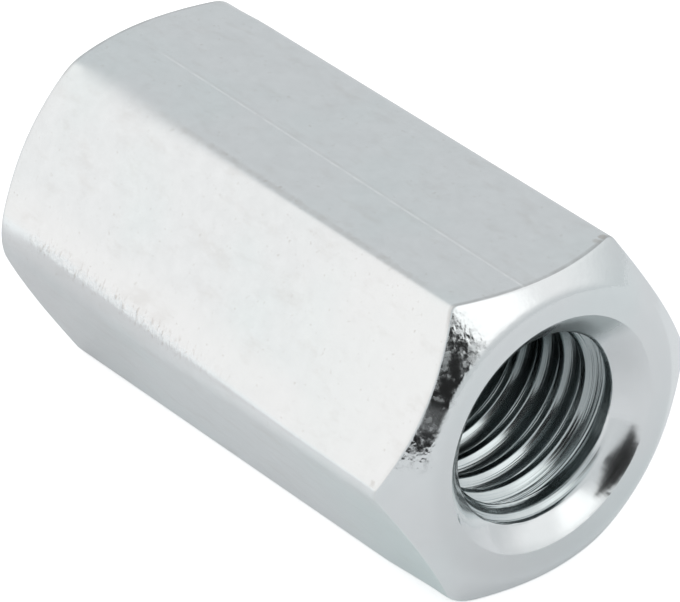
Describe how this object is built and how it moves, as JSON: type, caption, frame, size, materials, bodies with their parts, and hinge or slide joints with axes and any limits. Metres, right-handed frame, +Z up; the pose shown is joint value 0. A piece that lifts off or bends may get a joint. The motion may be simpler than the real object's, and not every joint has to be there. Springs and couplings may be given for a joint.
{
  "type": "hex coupling nut",
  "caption": "Long hexagon coupling nut in bright zinc-plated steel, tapped right through to join threaded rods or studs end to end, with chamfered ends and countersunk mouths.",
  "frame": {"origin": "middle of the tapped bore, half way between the two end faces", "axes": "+X along the bore, out of the end that the picture shows; +Z up, out of the upper flat, with the opposite flat underneath; +Y across the long edges"},
  "size_m": [0.036, 0.0216, 0.019],
  "materials": {
    "zinc_plate": "bright zinc plating, satin on the drawn flats and glossier on the turned ends and in the thread"
  },
  "bodies": {
    "root": {"coupling_nut": "zinc_plate"}
  },
  "joints": []
}
